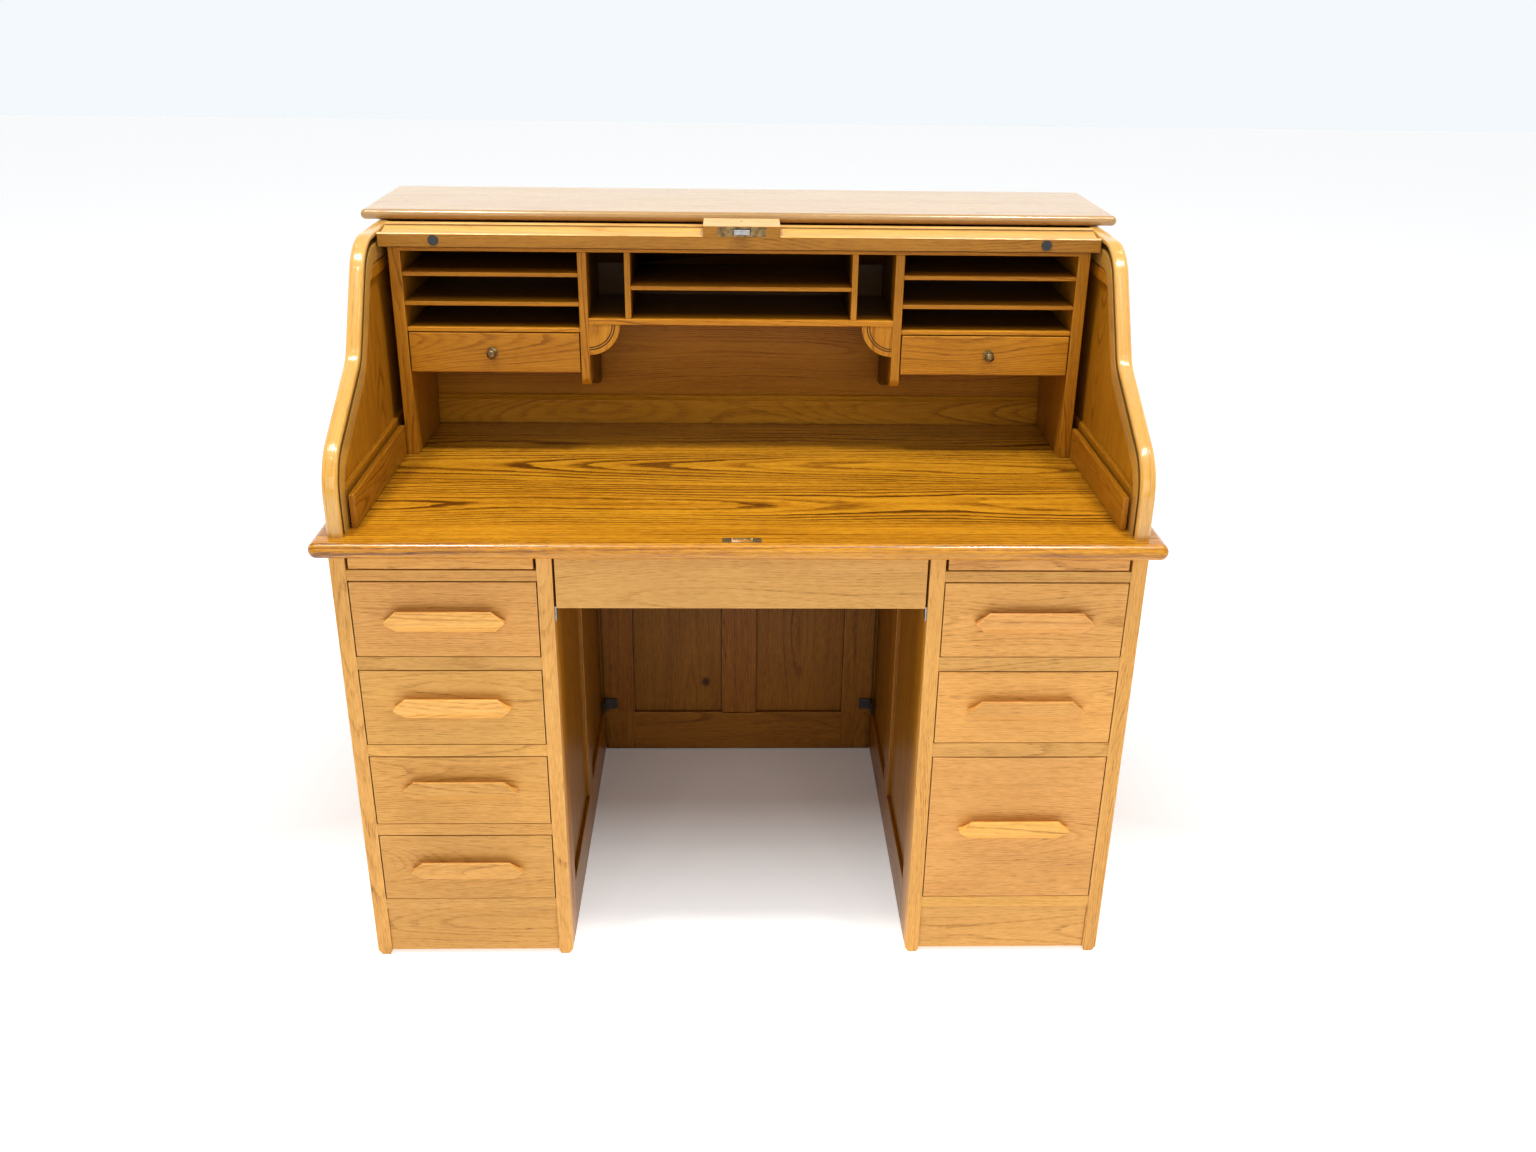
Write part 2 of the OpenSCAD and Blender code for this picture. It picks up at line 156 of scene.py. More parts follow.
def oak(name, light, mid, dark,  ring=0.0042, contrast=0.75, pores=0.6, rough=0.34, coat=0.0, spec=0.3,
        wavy=0.02, wear=0.25, shade_and_grime=0.4, vary=0.10, streak=0.5, fleck=0.9, reach=0.012, knots=()):
    """Stained and varnished oak: growth rings cut as boards, open pores, streaks and fibres, board-to-board changes,
    worn edges, grime with painted shade in the corners, and painted shade on marked faces.
    """
    m = bpy.data.materials.new(name)
    m.use_nodes = True
    t = NT(m)
    co, rnd, fig = t.attr("wco", "Vector"), t.attr("wrnd"), t.attr("fig")
    x, y, z = t.sep(co)
    a, b, c = t.sep(t.wnoise(t.math("MULTIPLY", rnd, 91.7)))
    base = t.comb(t.math("ADD", x, t.math("MULTIPLY", a, 9.0)), t.math("ADD", y, t.math("MULTIPLY", b, 3.0)), t.math("ADD", z, t.math("MULTIPLY", c, 3.0)))
    slow = t.noise(t.vmath("MULTIPLY", base, (1.5, 4.0, 4.0)), detail=1.0)
    slow2 = t.noise(t.vmath("MULTIPLY", base, (4.5, 22.0, 22.0)), detail=2.0)
    fine = t.noise(t.vmath("MULTIPLY", base, (20.0, 160.0, 160.0)), detail=2.0)
    # distance from the middle of the tree, which leans a little along the board, so that the rings come out as flames
    yc = t.math("ADD", y, t.math("MULTIPLY", t.math("SUBTRACT", b, 0.5), 0.10))
    yc = t.math("ADD", yc, t.math("MULTIPLY", t.math("SUBTRACT", slow2, 0.5), t.math("MULTIPLY", fig, wavy * 0.8)))
    yc = t.math("ADD", yc, t.math("MULTIPLY", t.math("SUBTRACT", 1.0, fig), 0.18))
    zc = t.math("ADD", t.math("ADD", z, 0.030), t.math("MULTIPLY", c, 0.05))
    zc = t.math("ADD", zc, t.math("MULTIPLY", t.math("SUBTRACT", slow, 0.5), t.math("MULTIPLY", fig, wavy * 5.0)))
    zc = t.math("ADD", zc, t.math("MULTIPLY", t.math("MULTIPLY", x, t.math("SUBTRACT", a, 0.5)), 0.05))
    rad = t.math("SQRT", t.math("ADD", t.math("MULTIPLY", yc, yc), t.math("MULTIPLY", zc, zc)))
    rad = t.math("ADD", rad, t.math("MULTIPLY", t.math("SUBTRACT", fine, 0.5), ring * 0.45))
    tt = t.math("DIVIDE", rad, ring)
    fr = t.math("FRACT", tt)
    band = t.ramp(fr, [(0.0, 0.1), (0.05, 1.0), (0.24, 0.85), (0.42, 0.22), (0.7, 0.02), (1.0, 0.1)])
    which = t.sep(t.wnoise(t.math("FLOOR", tt)))[0]
    band = t.math("MULTIPLY", band, t.math("ADD", 0.30, t.math("MULTIPLY", which, 0.85)))
    broad = t.noise(t.vmath("MULTIPLY", base, (2.6, 18.0, 18.0)), detail=3.0, rough=0.55)
    band = t.math("MULTIPLY", band, t.remap(broad, 0.30, 0.60, 0.45, 1.1))
    st1 = t.noise(t.vmath("MULTIPLY", base, (3.2, 78.0, 78.0)), detail=2.0, rough=0.55)
    st2 = t.noise(t.vmath("MULTIPLY", base, (9.0, 260.0, 260.0)), detail=2.0, rough=0.6)
    fib = t.noise(t.vmath("MULTIPLY", base, (55.0, 430.0, 430.0)), detail=3.0, rough=0.65)
    por = t.noise(t.vmath("MULTIPLY", base, (46.0, 1300.0, 1300.0)), detail=1.0)
    por = t.math("MULTIPLY", t.remap(por, 0.55, 0.68), t.math("ADD", 0.25, t.math("MULTIPLY", band, 0.9)))
    streaks = t.math("ADD", t.math("MULTIPLY", t.math("SUBTRACT", st1, 0.5), 1.3), t.math("MULTIPLY", t.math("SUBTRACT", st2, 0.5), 1.1))
    k = t.math("MULTIPLY", band, t.math("MULTIPLY", t.math("ADD", 0.30, t.math("MULTIPLY", fig, 0.70)), contrast))
    k = t.math("ADD", t.math("ADD", k, 0.16), t.math("MULTIPLY", streaks, streak))
    k = t.math("ADD", k, t.math("MULTIPLY", t.math("SUBTRACT", fib, 0.5), fleck))
    k = t.math("ADD", k, t.math("MULTIPLY", t.math("SUBTRACT", broad, 0.5), 0.35), clamp=True)
    col = t.ramp(k, [(0.0, light), (0.40, mid), (1.0, dark)])
    col = t.mix(t.math("MULTIPLY", por, pores), col, tuple(v * 0.42 for v in dark))
    # board to board: brighter or duller, redder or yellower
    gain = t.math("ADD", 1.0 - vary, t.math("MULTIPLY", a, 2 * vary))
    col = t.mix(1.0, col, t.comb(gain, t.math("MULTIPLY", gain, t.math("ADD", 0.95, t.math("MULTIPLY", c, 0.08))), t.math("MULTIPLY", gain, t.math("ADD", 0.85, t.math("MULTIPLY", b, 0.2)))), "MULTIPLY")
    # blotches where the varnish has mellowed unevenly
    blotch = t.noise(t.vmath("MULTIPLY", base, (5.0, 9.0, 9.0)), detail=3.0)
    col = t.mix(t.remap(blotch, 0.42, 0.72, 0.0, 0.22), col, tuple(v * 0.72 for v in mid))
    # painted shade: faces given painted shade on the mesh are darkened nearly to black, most of all at the back of the
    # pigeonholes
    painted_shade = t.attr("painted_shade")
    col = t.mix(t.math("MULTIPLY", painted_shade, 0.86), col, tuple(v * 0.10 + 0.001 for v in mid))
    # grime and painted shade: corners and recesses found by ambient occlusion are darkened, broken up by blotches
    if shade_and_grime:
        ao = t.new("ShaderNodeAmbientOcclusion", samples=6, only_local=False)
        ao.inputs["Distance"].default_value = reach
        blot = t.noise(t.vmath("MULTIPLY", base, (60.0, 60.0, 60.0)), detail=2.0)
        shade_and_dirt = t.math("MULTIPLY", t.remap(ao.outputs["AO"], 0.25, 0.9, 1.0, 0.0), t.remap(blot, 0.3, 0.7, 0.5, 1.0))
        col = t.mix(t.math("MULTIPLY", shade_and_dirt, shade_and_grime), col, tuple(v * 0.22 for v in dark))
    # knots, at places given on the object
    for (kx, ky, kz), kr in knots:
        d = t.vmath("SUBTRACT", t.new("ShaderNodeTexCoord").outputs["Object"], (kx, ky - MY, kz))
        d = t.vmath("LENGTH", t.vmath("MULTIPLY", d, (1.0, 0.0, 0.8)))
        d = t.math("ADD", d, t.math("MULTIPLY", t.math("SUBTRACT", fib, 0.5), kr * 0.5))
        col = t.mix(t.remap(d, kr * 0.4, kr * 1.6, 0.92, 0.0, smooth=True), col, tuple(v * 0.3 for v in dark))
    # arrises rubbed paler
    edge = t.attr("wear")
    rub = t.noise(t.vmath("MULTIPLY", base, (26.0, 90.0, 90.0)), detail=3.0)
    rubbed = t.math("MULTIPLY", edge, t.remap(rub, 0.36, 0.66))
    col = t.mix(t.math("MULTIPLY", rubbed, wear), col, tuple(min(1.0, v * 1.35 + 0.02) for v in light))
    bs = t.new("ShaderNodeBsdfPrincipled")
    t.link(col, bs.inputs["Base Color"])
    smear = t.noise(t.vmath("MULTIPLY", base, (7.0, 22.0, 22.0)), detail=3.0)
    rg = t.math("ADD", t.math("ADD", rough - 0.06, t.math("MULTIPLY", smear, 0.12)), t.math("MULTIPLY", por, 0.22))
    t.link(rg, bs.inputs["Roughness"])
    bs.inputs["Specular IOR Level"].default_value = spec
    if coat:
        bs.inputs["Coat Weight"].default_value = coat
        bs.inputs["Coat Roughness"].default_value = 0.14
    h = t.math("ADD", t.math("MULTIPLY", por, -0.6), t.math("MULTIPLY", band, -0.35))
    h = t.math("ADD", h, t.math("MULTIPLY", fib, 0.25))
    bp = t.new("ShaderNodeBump")
    bp.inputs["Strength"].default_value = 0.25
    bp.inputs["Distance"].default_value = 0.0005
    t.link(h, bp.inputs["Height"])
    t.link(bp.outputs[0], bs.inputs["Normal"])
    t.link(bs.outputs[0], t.out.inputs["Surface"])
    return m

def metal(name, base, tarnish, rough=0.3, amount=0.5, metallic=1.0, bump=0.2):
    m = bpy.data.materials.new(name)
    m.use_nodes = True
    t = NT(m)
    co = t.new("ShaderNodeTexCoord").outputs["Object"]
    n1 = t.noise(co, 140.0, 4.0, 0.6)
    n2 = t.noise(co, 700.0, 2.0, 0.5)
    sc = t.noise(t.vmath("MULTIPLY", co, (90.0, 1500.0, 1500.0)), detail=2.0)
    f = t.math("MULTIPLY", t.remap(n1, 0.38, 0.66), amount)
    col = t.mix(f, base, tarnish)
    col = t.mix(t.math("MULTIPLY", t.attr("wear"), t.remap(n2, 0.3, 0.6, 0.2, 0.6)), col, tuple(min(1.0, v * 1.3) for v in base))
    bs = t.new("ShaderNodeBsdfPrincipled")
    t.link(col, bs.inputs["Base Color"])
    bs.inputs["Metallic"].default_value = metallic
    t.link(t.math("ADD", t.math("ADD", rough, t.math("MULTIPLY", f, 0.3)), t.math("MULTIPLY", sc, 0.1)), bs.inputs["Roughness"])
    bp = t.new("ShaderNodeBump")
    bp.inputs["Strength"].default_value = bump
    bp.inputs["Distance"].default_value = 0.0003
    t.link(t.math("ADD", n2, sc), bp.inputs["Height"])
    t.link(bp.outputs[0], bs.inputs["Normal"])
    t.link(bs.outputs[0], t.out.inputs["Surface"])
    return m

MAT = {
    "honey": oak("honey_oak", (0.56, 0.238, 0.013), (0.45, 0.170, 0.007), (0.21, 0.070, 0.004), ring=0.0034, contrast=0.55, rough=0.34, spec=0.18),
    "band": oak("rounded_oak", (0.68, 0.375, 0.085), (0.60, 0.305, 0.055), (0.34, 0.135, 0.018), ring=0.0040, contrast=0.45, rough=0.20, spec=0.5, coat=0.5, vary=0.04),
    "front": oak("drawer_oak", (0.68, 0.350, 0.092), (0.585, 0.280, 0.062), (0.32, 0.122, 0.020), ring=0.0032, contrast=0.34, rough=0.36, spec=0.25, streak=0.40, vary=0.10, fleck=1.25, shade_and_grime=0.28, reach=0.007, pores=0.8),
    "pull": oak("pull_oak", (0.84, 0.460, 0.110), (0.74, 0.360, 0.070), (0.42, 0.165, 0.024), ring=0.0036, contrast=0.6, rough=0.34, spec=0.3, vary=0.12, fleck=1.1, shade_and_grime=0.15, reach=0.005),
    # painted light: a paler copy of the oak for the upward-facing faces of the lock rail
    "pale": oak("pale_oak", (0.68, 0.355, 0.075), (0.58, 0.275, 0.048), (0.36, 0.145, 0.020), ring=0.0040, contrast=0.45, rough=0.30, spec=0.4, streak=0.4),
    "top": oak("desktop_oak", (0.63, 0.285, 0.014), (0.43, 0.165, 0.006), (0.11, 0.032, 0.001), ring=0.0066, contrast=1.35, rough=0.24, spec=0.4, coat=0.2, wavy=0.020, vary=0.05, pores=0.9, streak=0.55, fleck=1.2),
    "dark": oak("dark_oak", (0.30, 0.118, 0.012), (0.22, 0.080, 0.008), (0.09, 0.030, 0.003), ring=0.0034, contrast=0.35, rough=0.42, spec=0.15, shade_and_grime=1.0, reach=0.022, fleck=1.3,
               knots=[((-0.070, 0.690, 0.165), 0.008)]),
    # painted glare: the top board's oak is paler and greyer than the rest, on top of its real coat
    "glare": oak("top_board_glare_oak", (0.46, 0.280, 0.100), (0.39, 0.225, 0.074), (0.28, 0.138, 0.038), ring=0.0044, contrast=0.7, fleck=1.3, rough=0.26, spec=0.45, coat=0.45, streak=0.35, vary=0.03),
    "rail": oak("rail_oak", (0.38, 0.165, 0.021), (0.30, 0.120, 0.014), (0.15, 0.052, 0.005), ring=0.0034, contrast=0.45, rough=0.34, spec=0.18, fleck=1.1),
    "canvas": None,
    "brass": metal("aged_brass", (0.56, 0.40, 0.17), (0.16, 0.10, 0.045), 0.30, 0.6),
    "steel": metal("bright_steel", (0.40, 0.40, 0.41), (0.16, 0.15, 0.14), 0.30, 0.6),
    "iron": metal("black_iron", (0.022, 0.022, 0.024), (0.06, 0.045, 0.035), 0.5, 0.5, metallic=0.3),
    "old_brass": metal("old_brass", (0.30, 0.20, 0.085), (0.07, 0.045, 0.022), 0.34, 0.8),
    "rubber": metal("black_rubber", (0.018, 0.021, 0.022), (0.05, 0.052, 0.055), 0.55, 0.7, metallic=0.0),
}
def canvas():
    """Unbleached cloth in a plain weave."""
    m = bpy.data.materials.new("canvas")
    m.use_nodes = True
    t = NT(m)
    co = t.new("ShaderNodeTexCoord").outputs["Object"]
    x, y, z = t.sep(co)
    wx = t.math("SINE", t.math("MULTIPLY", x, 5200.0))
    wy = t.math("SINE", t.math("MULTIPLY", t.math("ADD", y, z), 5200.0))
    n = t.noise(co, 90.0, 3.0)
    col = t.mix(t.remap(t.math("MULTIPLY", wx, wy), -1, 1), (0.42, 0.36, 0.26), (0.54, 0.48, 0.36))
    col = t.mix(t.remap(n, 0.4, 0.7, 0.0, 0.5), col, (0.30, 0.24, 0.16))
    bs = t.new("ShaderNodeBsdfPrincipled")
    t.link(col, bs.inputs["Base Color"])
    t.link(t.remap(n, 0.3, 0.7, 0.8, 0.95), bs.inputs["Roughness"])
    bp = t.new("ShaderNodeBump")
    bp.inputs["Strength"].default_value = 0.4
    bp.inputs["Distance"].default_value = 0.0003
    t.link(t.math("ADD", wx, wy), bp.inputs["Height"])
    t.link(bp.outputs[0], bs.inputs["Normal"])
    t.link(bs.outputs[0], t.out.inputs["Surface"])
    return m
MAT["canvas"] = canvas()

# ------------------------------------------------------------------ boards from the frame
def islands(bm):
    seen, out = set(), []
    for v in bm.verts:
        if v in seen: continue
        stack, got = [v], []
        seen.add(v)
        while stack:
            w = stack.pop()
            got.append(w)
            for e in w.link_edges:
                o = e.other_vert(w)
                if o not in seen:
                    seen.add(o); stack.append(o)
        out.append(got)
    return out

def wood_coords(bm, lay, rl, seed, axis=None):
    """Each board gets its own run of grain: x along it, y across, z through it."""
    rng = random.Random(seed * 7919 + 13)
    bm.verts.ensure_lookup_table()
    for k, vs in enumerate(islands(bm)):
        lo = Vector([min(v.co[i] for v in vs) for i in range(3)])
        hi = Vector([max(v.co[i] for v in vs) for i in range(3)])
        size = hi - lo
        order = sorted(range(3), key=lambda i: -size[i])
        if axis is not None:
            a = axis(k, lo, hi) if callable(axis) else axis
            if a is not None:
                order = [a] + [i for i in order if i != a]
        mid = (lo + hi) / 2
        r = rng.random()
        flip = rng.choice((-1, 1))
        for v in vs:
            d = v.co - mid
            v[lay] = Vector((d[order[0]] * flip, d[order[1]], d[order[2]]))
        for f in {f for v in vs for f in v.link_faces}:
            f[rl] = r

def finish_mesh(name, bm, body, mat, bevel=0.001, seed=0, axis=None, keep_co=False, smooth=35, replaces=(), weighted=True, figure=1.0):
    lay = bm.verts.layers.float_vector.get("wco") or bm.verts.layers.float_vector.new("wco")
    rl = bm.faces.layers.float.get("wrnd") or bm.faces.layers.float.new("wrnd")
    wl = bm.faces.layers.float.get("wear") or bm.faces.layers.float.new("wear")
    gl = bm.faces.layers.float.get("fig")
    if gl is None:
        gl = bm.faces.layers.float.new("fig")
        for f in bm.faces: f[gl] = figure
    if not keep_co:
        wood_coords(bm, lay, rl, seed or sum(map(ord, name)), axis)
    if bevel:
        es = [e for e in bm.edges if len(e.link_faces) == 2 and e.is_convex and e.calc_face_angle(0) > math.radians(28)]
        if es:
            got = bmesh.ops.bevel(bm, geom=es, offset=bevel, offset_type="OFFSET", segments=2, profile=0.6, affect="EDGES", clamp_overlap=True)
            for f in got["faces"]:
                f[wl] = 1.0
                near = [g for e in f.edges for g in e.link_faces if g[rl]]
                if near: f[rl], f[gl] = near[0][rl], near[0][gl]
    me = bpy.data.meshes.new(name)
    bm.to_mesh(me)
    bm.free()
    me.materials.append(MAT[mat])
    me.shade_smooth()
    me.set_sharp_from_angle(angle=math.radians(smooth))
    ob = bpy.data.objects.new(name, me)
    SC.collection.objects.link(ob)
    if weighted:
        wn = ob.modifiers.new("weighted", "WEIGHTED_NORMAL")
        wn.keep_sharp = True
        wn.weight = 80
    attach(ob, body)
    if replaces:
        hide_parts(*replaces)
    return ob

def cut_into_boards(bm, cuts):
    """Splits a solid at flat joints, given as (axis, millimetres in the front-plane frame), so that each board has its own grain."""
    for ax, c in cuts:
        at = c / 1000 - (MY if ax == 1 else 0)
        co, no = Vector((0, 0, 0)), Vector((0, 0, 0))
        co[ax], no[ax] = at, 1.0
        bmesh.ops.bisect_plane(bm, geom=bm.verts[:] + bm.edges[:] + bm.faces[:], plane_co=co, plane_no=no, dist=1e-6)
        def far_side(f):
            m = f.calc_center_median()[ax] - at
            return m > 0 if abs(m) > 2e-5 else f.normal[ax] < 0
        bm.normal_update()
        on = [e for e in bm.edges if all(abs(v.co[ax] - at) < 2e-5 for v in e.verts) and len({far_side(f) for f in e.link_faces}) == 2]
        if on:
            bmesh.ops.split_edges(bm, edges=on)

def from_node(node, mat, name=None, bevel=0.001, axis=None, smooth=35, seed=0, figure=1.0, cuts=(), painted_shade=None):
    bm = bmesh.new()
    bm.from_mesh(NODES[node].data)
    bmesh.ops.remove_doubles(bm, verts=bm.verts, dist=2e-6)
    cut_into_boards(bm, cuts)
    bmesh.ops.dissolve_limit(bm, angle_limit=math.radians(0.4), verts=bm.verts, edges=bm.edges, use_dissolve_boundaries=False)
    # painted shade on the vertices: given as a function of position, or as a ramp along one axis
    if callable(painted_shade):
        dl = bm.verts.layers.float.new("painted_shade")
        for v in bm.verts:
            v[dl] = painted_shade(v.co)
    elif painted_shade:
        # (axis, where it starts, where it is full, in front-plane millimetres)
        ax, d0, d1 = painted_shade
        off = MY * 1000 if ax == 1 else 0
        for c in (d0, d1):
            co, no = Vector((0, 0, 0)), Vector((0, 0, 0))
            co[ax], no[ax] = (c - off) / 1000, 1.0
            bmesh.ops.bisect_plane(bm, geom=bm.verts[:] + bm.edges[:] + bm.faces[:], plane_co=co, plane_no=no, dist=1e-6)
        dl = bm.verts.layers.float.new("painted_shade")
        for v in bm.verts:
            v[dl] = min(1.0, max(0.0, (v.co[ax] * 1000 + off - d0) / (d1 - d0)))
    return finish_mesh(name or node + "_boards", bm, BODY_OF[node], mat, bevel, seed, axis, smooth=smooth, replaces=(node,), figure=figure)

X, Y, Z = 0, 1, 2
def planked_top(node, mat, cuts, figures, hearts):
    """One wide board of the frame shown as the boards it is glued up from, each with its own grain."""
    bm = bmesh.new()
    bm.from_mesh(NODES[node].data)
    bmesh.ops.remove_doubles(bm, verts=bm.verts, dist=2e-6)
    for c in cuts:
        bmesh.ops.bisect_plane(bm, geom=bm.verts[:] + bm.edges[:] + bm.faces[:], plane_co=(0, c / 1000 - MY, 0), plane_no=(0, 1, 0), dist=1e-6)
    lay, rl, gl = bm.verts.layers.float_vector.new("wco"), bm.faces.layers.float.new("wrnd"), bm.faces.layers.float.new("fig")
    bm.faces.layers.float.new("wear")
    mid_z = sum(v.co.z for v in bm.verts) / len(bm.verts)
    for v in bm.verts:
        v[lay] = Vector((v.co.x, v.co.y, v.co.z - mid_z))
    rng = random.Random(5)
    rs = [rng.random() for _ in range(len(cuts) + 1)]
    for f in bm.faces:
        y = (f.calc_center_median().y + MY) * 1000
        k = sum(y > c for c in cuts)
        f[rl], f[gl] = rs[k], figures[k]
    # each board is centred on its own heart; boards are parted so that the grain does not run across the joints
    for c in cuts:
        at = c / 1000 - MY
        on = [e for e in bm.edges if all(abs(v.co.y - at) < 2e-5 for v in e.verts)]
        bmesh.ops.split_edges(bm, edges=on)
    for f in bm.faces:
        h = hearts[sum((f.calc_center_median().y + MY) * 1000 > c for c in cuts)] / 1000 - MY
        for v in f.verts:
            v[lay] = Vector((v.co.x, v.co.y - h, v.co.z - mid_z))
    return finish_mesh(node + "_boards", bm, BODY_OF[node], mat, 0, keep_co=True, replaces=(node,))
planked_top("desk_top", "top", (72, 262, 452, 596), (0.15, 1.0, 0.9, 0.6, 0.4), (30, 165, 372, 560, 700))
planked_top("top_board", "glare", (500, 640), (0.2, 0.7, 0.6), (480, 570, 700))
# ---- the S-shaped end boards: a moulded rail that follows the curve, with the frame behind it
def arc(c, r, a0, a1, n):
    return [(c[0] + r * math.cos(math.radians(a0 + (a1 - a0) * i / n)), c[1] + r * math.sin(math.radians(a0 + (a1 - a0) * i / n))) for i in range(n + 1)]
TOP_Z, S_TOP = 778, 1169
CB = (99, 835)
PB = (CB[0] - 95 * math.sin(math.radians(29)), CB[1] + 95 * math.cos(math.radians(29)))
PC = (PB[0] + 157 * math.cos(math.radians(29)), PB[1] + 157 * math.sin(math.radians(29)))
CD = (PC[0] - 60 * math.sin(math.radians(29)), PC[1] + 60 * math.cos(math.radians(29)))
PD = (CD[0] + 60 * math.sin(math.radians(58)), CD[1] - 60 * math.cos(math.radians(58)))
RUN = (S_TOP - 91 * (1 - math.cos(math.radians(58))) - PD[1]) / math.sin(math.radians(58))
PE = (PD[0] + RUN * math.cos(math.radians(58)), PD[1] + RUN * math.sin(math.radians(58)))
CF = (PE[0] + 91 * math.sin(math.radians(58)), PE[1] - 91 * math.cos(math.radians(58)))
def s_path(d):
    def line(a, b, n):
        return [(a[0] + (b[0] - a[0]) * i / n, a[1] + (b[1] - a[1]) * i / n) for i in range(1, n)]
    a1, a2, a3 = arc(CB, 95 - d, 180, 119, 18), arc(CD, 60 + d, -61, -32, 12), arc(CF, 91 - d, 148, 90, 18)
    foot = (4 + d, TOP_Z)
    return [foot] + line(foot, a1[0], 4) + a1 + line(a1[-1], a2[0], 8) + a2 + line(a2[-1], a3[0], 6) + a3 + line(a3[-1], (748, S_TOP - d), 14) + [(748, S_TOP - d)]
def rounded(r, n, u0, u1, side):
    """Quarter round between the flat of one face and the front edge, as (offset, depth)."""
    return [(r - r * math.sin(math.pi / 2 * i / n), (u0 + r - r * math.cos(math.pi / 2 * i / n)) if side < 0 else (u1 - r + r * math.cos(math.pi / 2 * i / n))) for i in range(n + 1)]
SECTION = [(50, 3.5), (48.6, 1.6), (46, 0.6), (44.5, 0)] + rounded(7.5, 5, 0, 24, -1) + rounded(6.5, 5, 0, 24, 1)[::-1] + \
    [(8.4, 24), (8.9, 23.6), (9.2, 16), (18, 16), (18.2, 23.5), (18.8, 24), (44.5, 24), (46, 23.4), (48.6, 22.4), (50, 20.5), (50, 12)]
def end_rail(side):
    bm = bmesh.new()
    lay, rl = bm.verts.layers.float_vector.new("wco"), bm.faces.layers.float.new("wrnd")
    wl, gl = bm.faces.layers.float.new("wear"), bm.faces.layers.float.new("fig")
    dl = bm.faces.layers.float.new("painted_shade")
    cols = [s_path(d) for d, u in SECTION]
    mid = s_path(14)
    run = [0.0]
    for a, b in zip(mid, mid[1:]):
        run.append(run[-1] + math.dist(a, b))
    grid = []
    for i in range(len(mid)):
        row = []
        for (d, u), col in zip(SECTION, cols):
            v = bm.verts.new((side * (625 - u) / 1000, col[i][0] / 1000 - MY, col[i][1] / 1000))
            v[lay] = Vector((run[i] / 1000, d / 1000, u / 1000))
            row.append(v)
        grid.append(row)
    n = len(SECTION)
    for i in range(len(grid) - 1):
        piece = 0.31 if run[i] < 215 else (0.63 if run[i] < 455 else 0.87)
        for j in range(n):
            f = bm.faces.new((grid[i][j], grid[i][(j + 1) % n], grid[i + 1][(j + 1) % n], grid[i + 1][j]))
            f[rl], f[gl] = piece + (0.05 if side > 0 else 0), 0.5
            d = (SECTION[j][0] + SECTION[(j + 1) % n][0]) / 2
            f[wl] = 0.9 if 0.3 < d < 7 else 0.0
            # painted shade in the groove beside the rounded front edge
            f[dl] = 0.95 if 8.5 < d < 18.3 and SECTION[j][1] + SECTION[(j + 1) % n][1] < 47 and SECTION[j][1] > 12 else 0.0
    for row in (grid[0], grid[-1]):
        f = bm.faces.new(row)
        f[rl], f[gl] = 0.31, 0.5
    bmesh.ops.recalc_face_normals(bm, faces=bm.faces)
    name = "left_end" if side < 0 else "right_end"
    finish_mesh(name + "_curved_rail", bm, "carcass", "band", 0, keep_co=True, smooth=50, replaces=(name,))
    bm = bmesh.new()
    def prism(outline, u0, u1):
        a = [bm.verts.new((side * (625 - u0) / 1000, y / 1000 - MY, z / 1000)) for y, z in outline]
        b = [bm.verts.new((side * (625 - u1) / 1000, y / 1000 - MY, z / 1000)) for y, z in outline]
        bm.faces.new(a); bm.faces.new(b[::-1])
        for i in range(len(a)):
            bm.faces.new((a[i], b[i], b[(i + 1) % len(a)], a[(i + 1) % len(a)]))
    prism([(54, TOP_Z), (688, TOP_Z), (688, 842), (55, 842), (54, 835)], 0, 24)
    prism([(688, TOP_Z), (748, TOP_Z), (748, 1119), (688, 1119)], 0, 24)
    top = [p for p in arc(CF, 41, 148, 90, 10) if p[1] >= 1100]
    prism(top + [(688, 1119), (688, 1100), (top[0][0] - 5, 1100)], 0, 24)
    bmesh.ops.recalc_face_normals(bm, faces=bm.faces)
    finish_mesh(name + "_frame", bm, "carcass", "honey", 0.0012, figure=0.6)
end_rail(-1)
end_rail(1)
def inside(co):
    """Painted shade: the faces turned to the middle of the desk are darker, most of all in the corner behind."""
    y = (co.y + MY) * 1000
    return (0.10 + 0.30 * min(1.0, max(0.0, (y - 250) / 250))) if abs(co.x) < 0.6125 else 0.0
from_node("end_panels", "honey", axis=Z, painted_shade=inside)
from_node("back_frame", "dark", cuts=[(0, v + w) for v in (-571, -190, 190, 571) for w in (-30, 30)])
from_node("back_panels", "dark", axis=Z)
# painted shade: the inner back panel darkens from 1000 mm up, fully above 1012 mm, behind the pigeonholes
from_node("inner_back_panel", "honey", axis=X, painted_shade=(2, 1000, 1012))
from_node("inner_back_rail", "honey", bevel=0.0006)
# painted shade: the cleats are darkened a little all over
from_node("side_cleats", "honey", painted_shade=lambda co: 0.22)
from_node("pigeonhole_sides", "honey", axis=Z)
# painted shade: the pigeonhole dividers and shelves darken with depth behind their front edges
from_node("pigeonhole_dividers", "honey", axis=Z, bevel=0.0012, painted_shade=(1, 400, 455))
from_node("pigeonhole_shelves", "honey", axis=X, painted_shade=(1, 400, 440))
